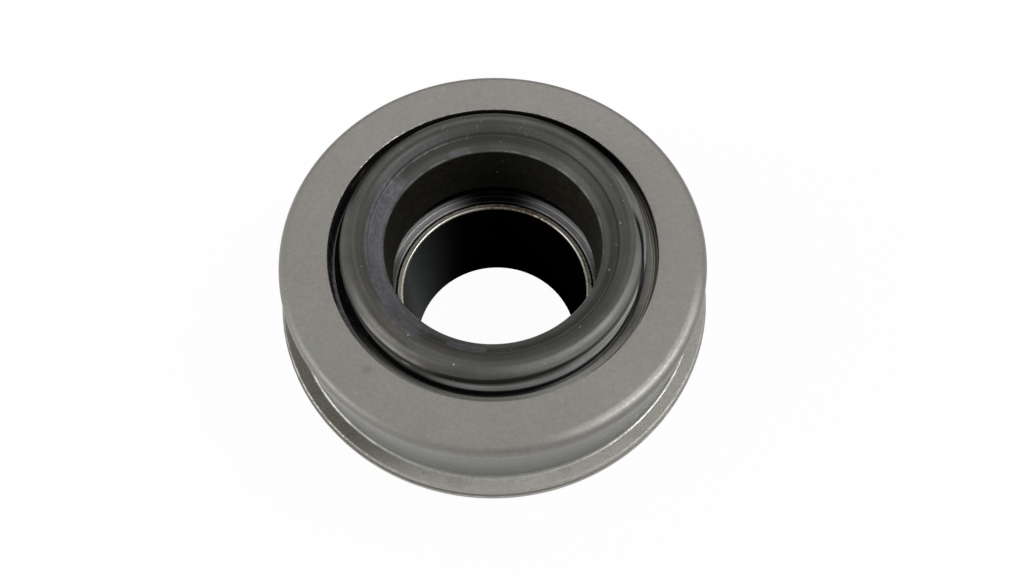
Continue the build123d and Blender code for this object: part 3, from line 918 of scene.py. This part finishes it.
def makeFrontSeal():
    low, high = heights("front_seal")
    tip, outer = radii("front_seal")
    under = heights("front_seal", outer - 0.01)[0]
    rim = radii("front_seal", low + 0.4, high)[0]
    bevel = radii("front_seal", high - 0.01)[0] - rim
    outline = rounded([
        (outer, under, seal["edge"]), (outer, high, seal["edge"]), (rim + bevel, high, 0.12),
        (rim, high - bevel, 0.06), (rim, low + 0.3, 0), (tip, low + 0.15, 0), (tip, low, 0),
        (rim + 0.3, low, 0), (rim + bevel, under, 0)])
    piece = lathe("front_seal_rubber", outline, seal["turns"])
    f = Finish("seal rubber", seal)
    level = f.every(f.ease(f.turned(3.0, 0.3), 0.3, 0.7, (0.8, 1.2)),
                    f.patchy((1.5, 3), 0.3, 0.7, (0.92, 1.08)))
    oilyShade = f.sector("oilyShade")
    flat = f.every(f.ease(f.radius, rim + bevel - 0.1, rim + bevel + 0.1),
                   f.ease(f.turned(5.0, 0.3), 0.4, 0.55))
    # painted light on the bevel at the right
    colour = f.mix(f.sector("litSide"), "bevel", "litBevel")
    colour = f.mix(flat, colour, "flat")
    wall = f.ease(f.height, high - bevel + 0.1, high - bevel - 0.1)
    # painted highlight on the inner wall at the right
    colour = f.mix(f.every(f.sector("wallLight"), wall), colour, "wallLight")
    # painted shade low down, on the inner wall near the right front and all round the back
    colour = f.mix(f.ease(f.height, low + 0.5, low + 0.2), colour, "foot")
    colour = f.mix(f.every(f.sector("wallShade"), wall), colour, "wallShade")
    colour = f.mix(f.sector("back"), colour, "back")
    # oil on the left side, painted dark as shade, with light streaks painted in as reflections
    colour = f.mix(oilyShade, colour, "oilyShade")
    streaks = f.every(oilyShade, f.ease(f.noise(1.0, 2, 0.6, f.slanted(4.0, 0.5)), 0.58, 0.66))
    colour = f.mix(f.every(streaks, 0.5), colour, "oilStreakReflections")
    rough = f.minus(0.45, f.every(oilyShade, 0.3))
    bump = f.bump(f.noise(1.2, 3, warp=0.5), 0.3, 0.08)
    return piece, f.done(colour=f.shade(colour, level), rough=rough, normal=bump)


def makeRearSeal():
    low, high = heights("rear_seal")
    inner, outer = radii("rear_seal")
    base = heights("rear_seal", outer - 0.01)[1]
    tipIn, tipOut = radii("rear_seal", high - 0.01)
    # the lip leaves the base between rootIn and rootOut
    r, z = cornersOf("rear_seal")
    root = r[(abs(z - base) < 0.01) & (r > inner + 0.5) & (r < outer - 0.5)]
    rootIn, rootOut = float(root.min()), float(root.max())
    outline = rounded([
        (inner, low, 0), (outer, low, 0), (outer, base, 0.1), (rootOut, base, 0.2), (tipOut, high, 0.08),
        (tipIn, high, 0.08), (rootIn, base, 0.2), (inner, base, 0.1)])
    piece = lathe("rear_seal_rubber", outline, seal["turns"])
    f = Finish("rear seal rubber", seal)
    level = f.patchy((1.5, 3), 0.3, 0.7, (0.8, 1.2))
    return piece, f.done(colour=f.shade("rear", level), rough=0.5, normal=f.bump(f.noise(4, 2), 0.2, 0.03))


# Races, balls and cage keep their CAD shapes and only get materials

hidden = {"paints": {"race": (176, 176, 174), "ball": (205, 205, 207), "cage": (176, 146, 104)}}


def makeHidden():
    f = Finish("race steel", hidden)
    ground = f.done(colour=f.shade("race", f.ease(f.turned(6.0), 0.3, 0.7, (0.9, 1.08))), metal=1.0,
                    rough=f.ease(f.turned(4.0), 0.3, 0.7, (0.18, 0.3)))
    f = Finish("ball steel", hidden)
    polished = f.done(colour=f.shade("ball", f.patchy((0.8, 2), 0.3, 0.7, (0.94, 1.04))), metal=1.0,
                      rough=f.patchy((3, 2), 0.3, 0.7, (0.05, 0.1)))
    f = Finish("cage plastic", hidden)
    moulded = f.done(colour=f.shade("cage", f.patchy((1.2, 3), 0.3, 0.7, (0.92, 1.06))), rough=0.45,
                     normal=f.bump(f.noise(8, 2), 0.15, 0.02))
    kinds = {"ball_cage": moulded, "outer_race": ground}
    for node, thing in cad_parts.items():
        if node.startswith(("ball_0", "ball_1")):
            kinds[node] = polished
        if node in kinds:
            for slot in thing.material_slots:
                slot.material = kinds[node]


pieces = [
    (makeCover, "cover_shell", "housing", "cover_steel"),
    (makeHub, "carrier_hub", "housing", "hub_steel"),
    (makeBush, "liner_bush", "housing", "liner"),
    (makeNose, "nose_ring", "nose", "black_steel"),
    (makeFrontSeal, "front_seal", "housing", "seal_rubber"),
    (makeRearSeal, "rear_seal", "housing", "seal_rubber"),
]
for make, node, body, slot in pieces:
    piece, material = make()
    piece.data.materials.append(material)
    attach(piece, body)
    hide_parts(node)
    print(piece.name, len(piece.data.polygons), "quads")
makeHidden()
print("races, balls and cage")
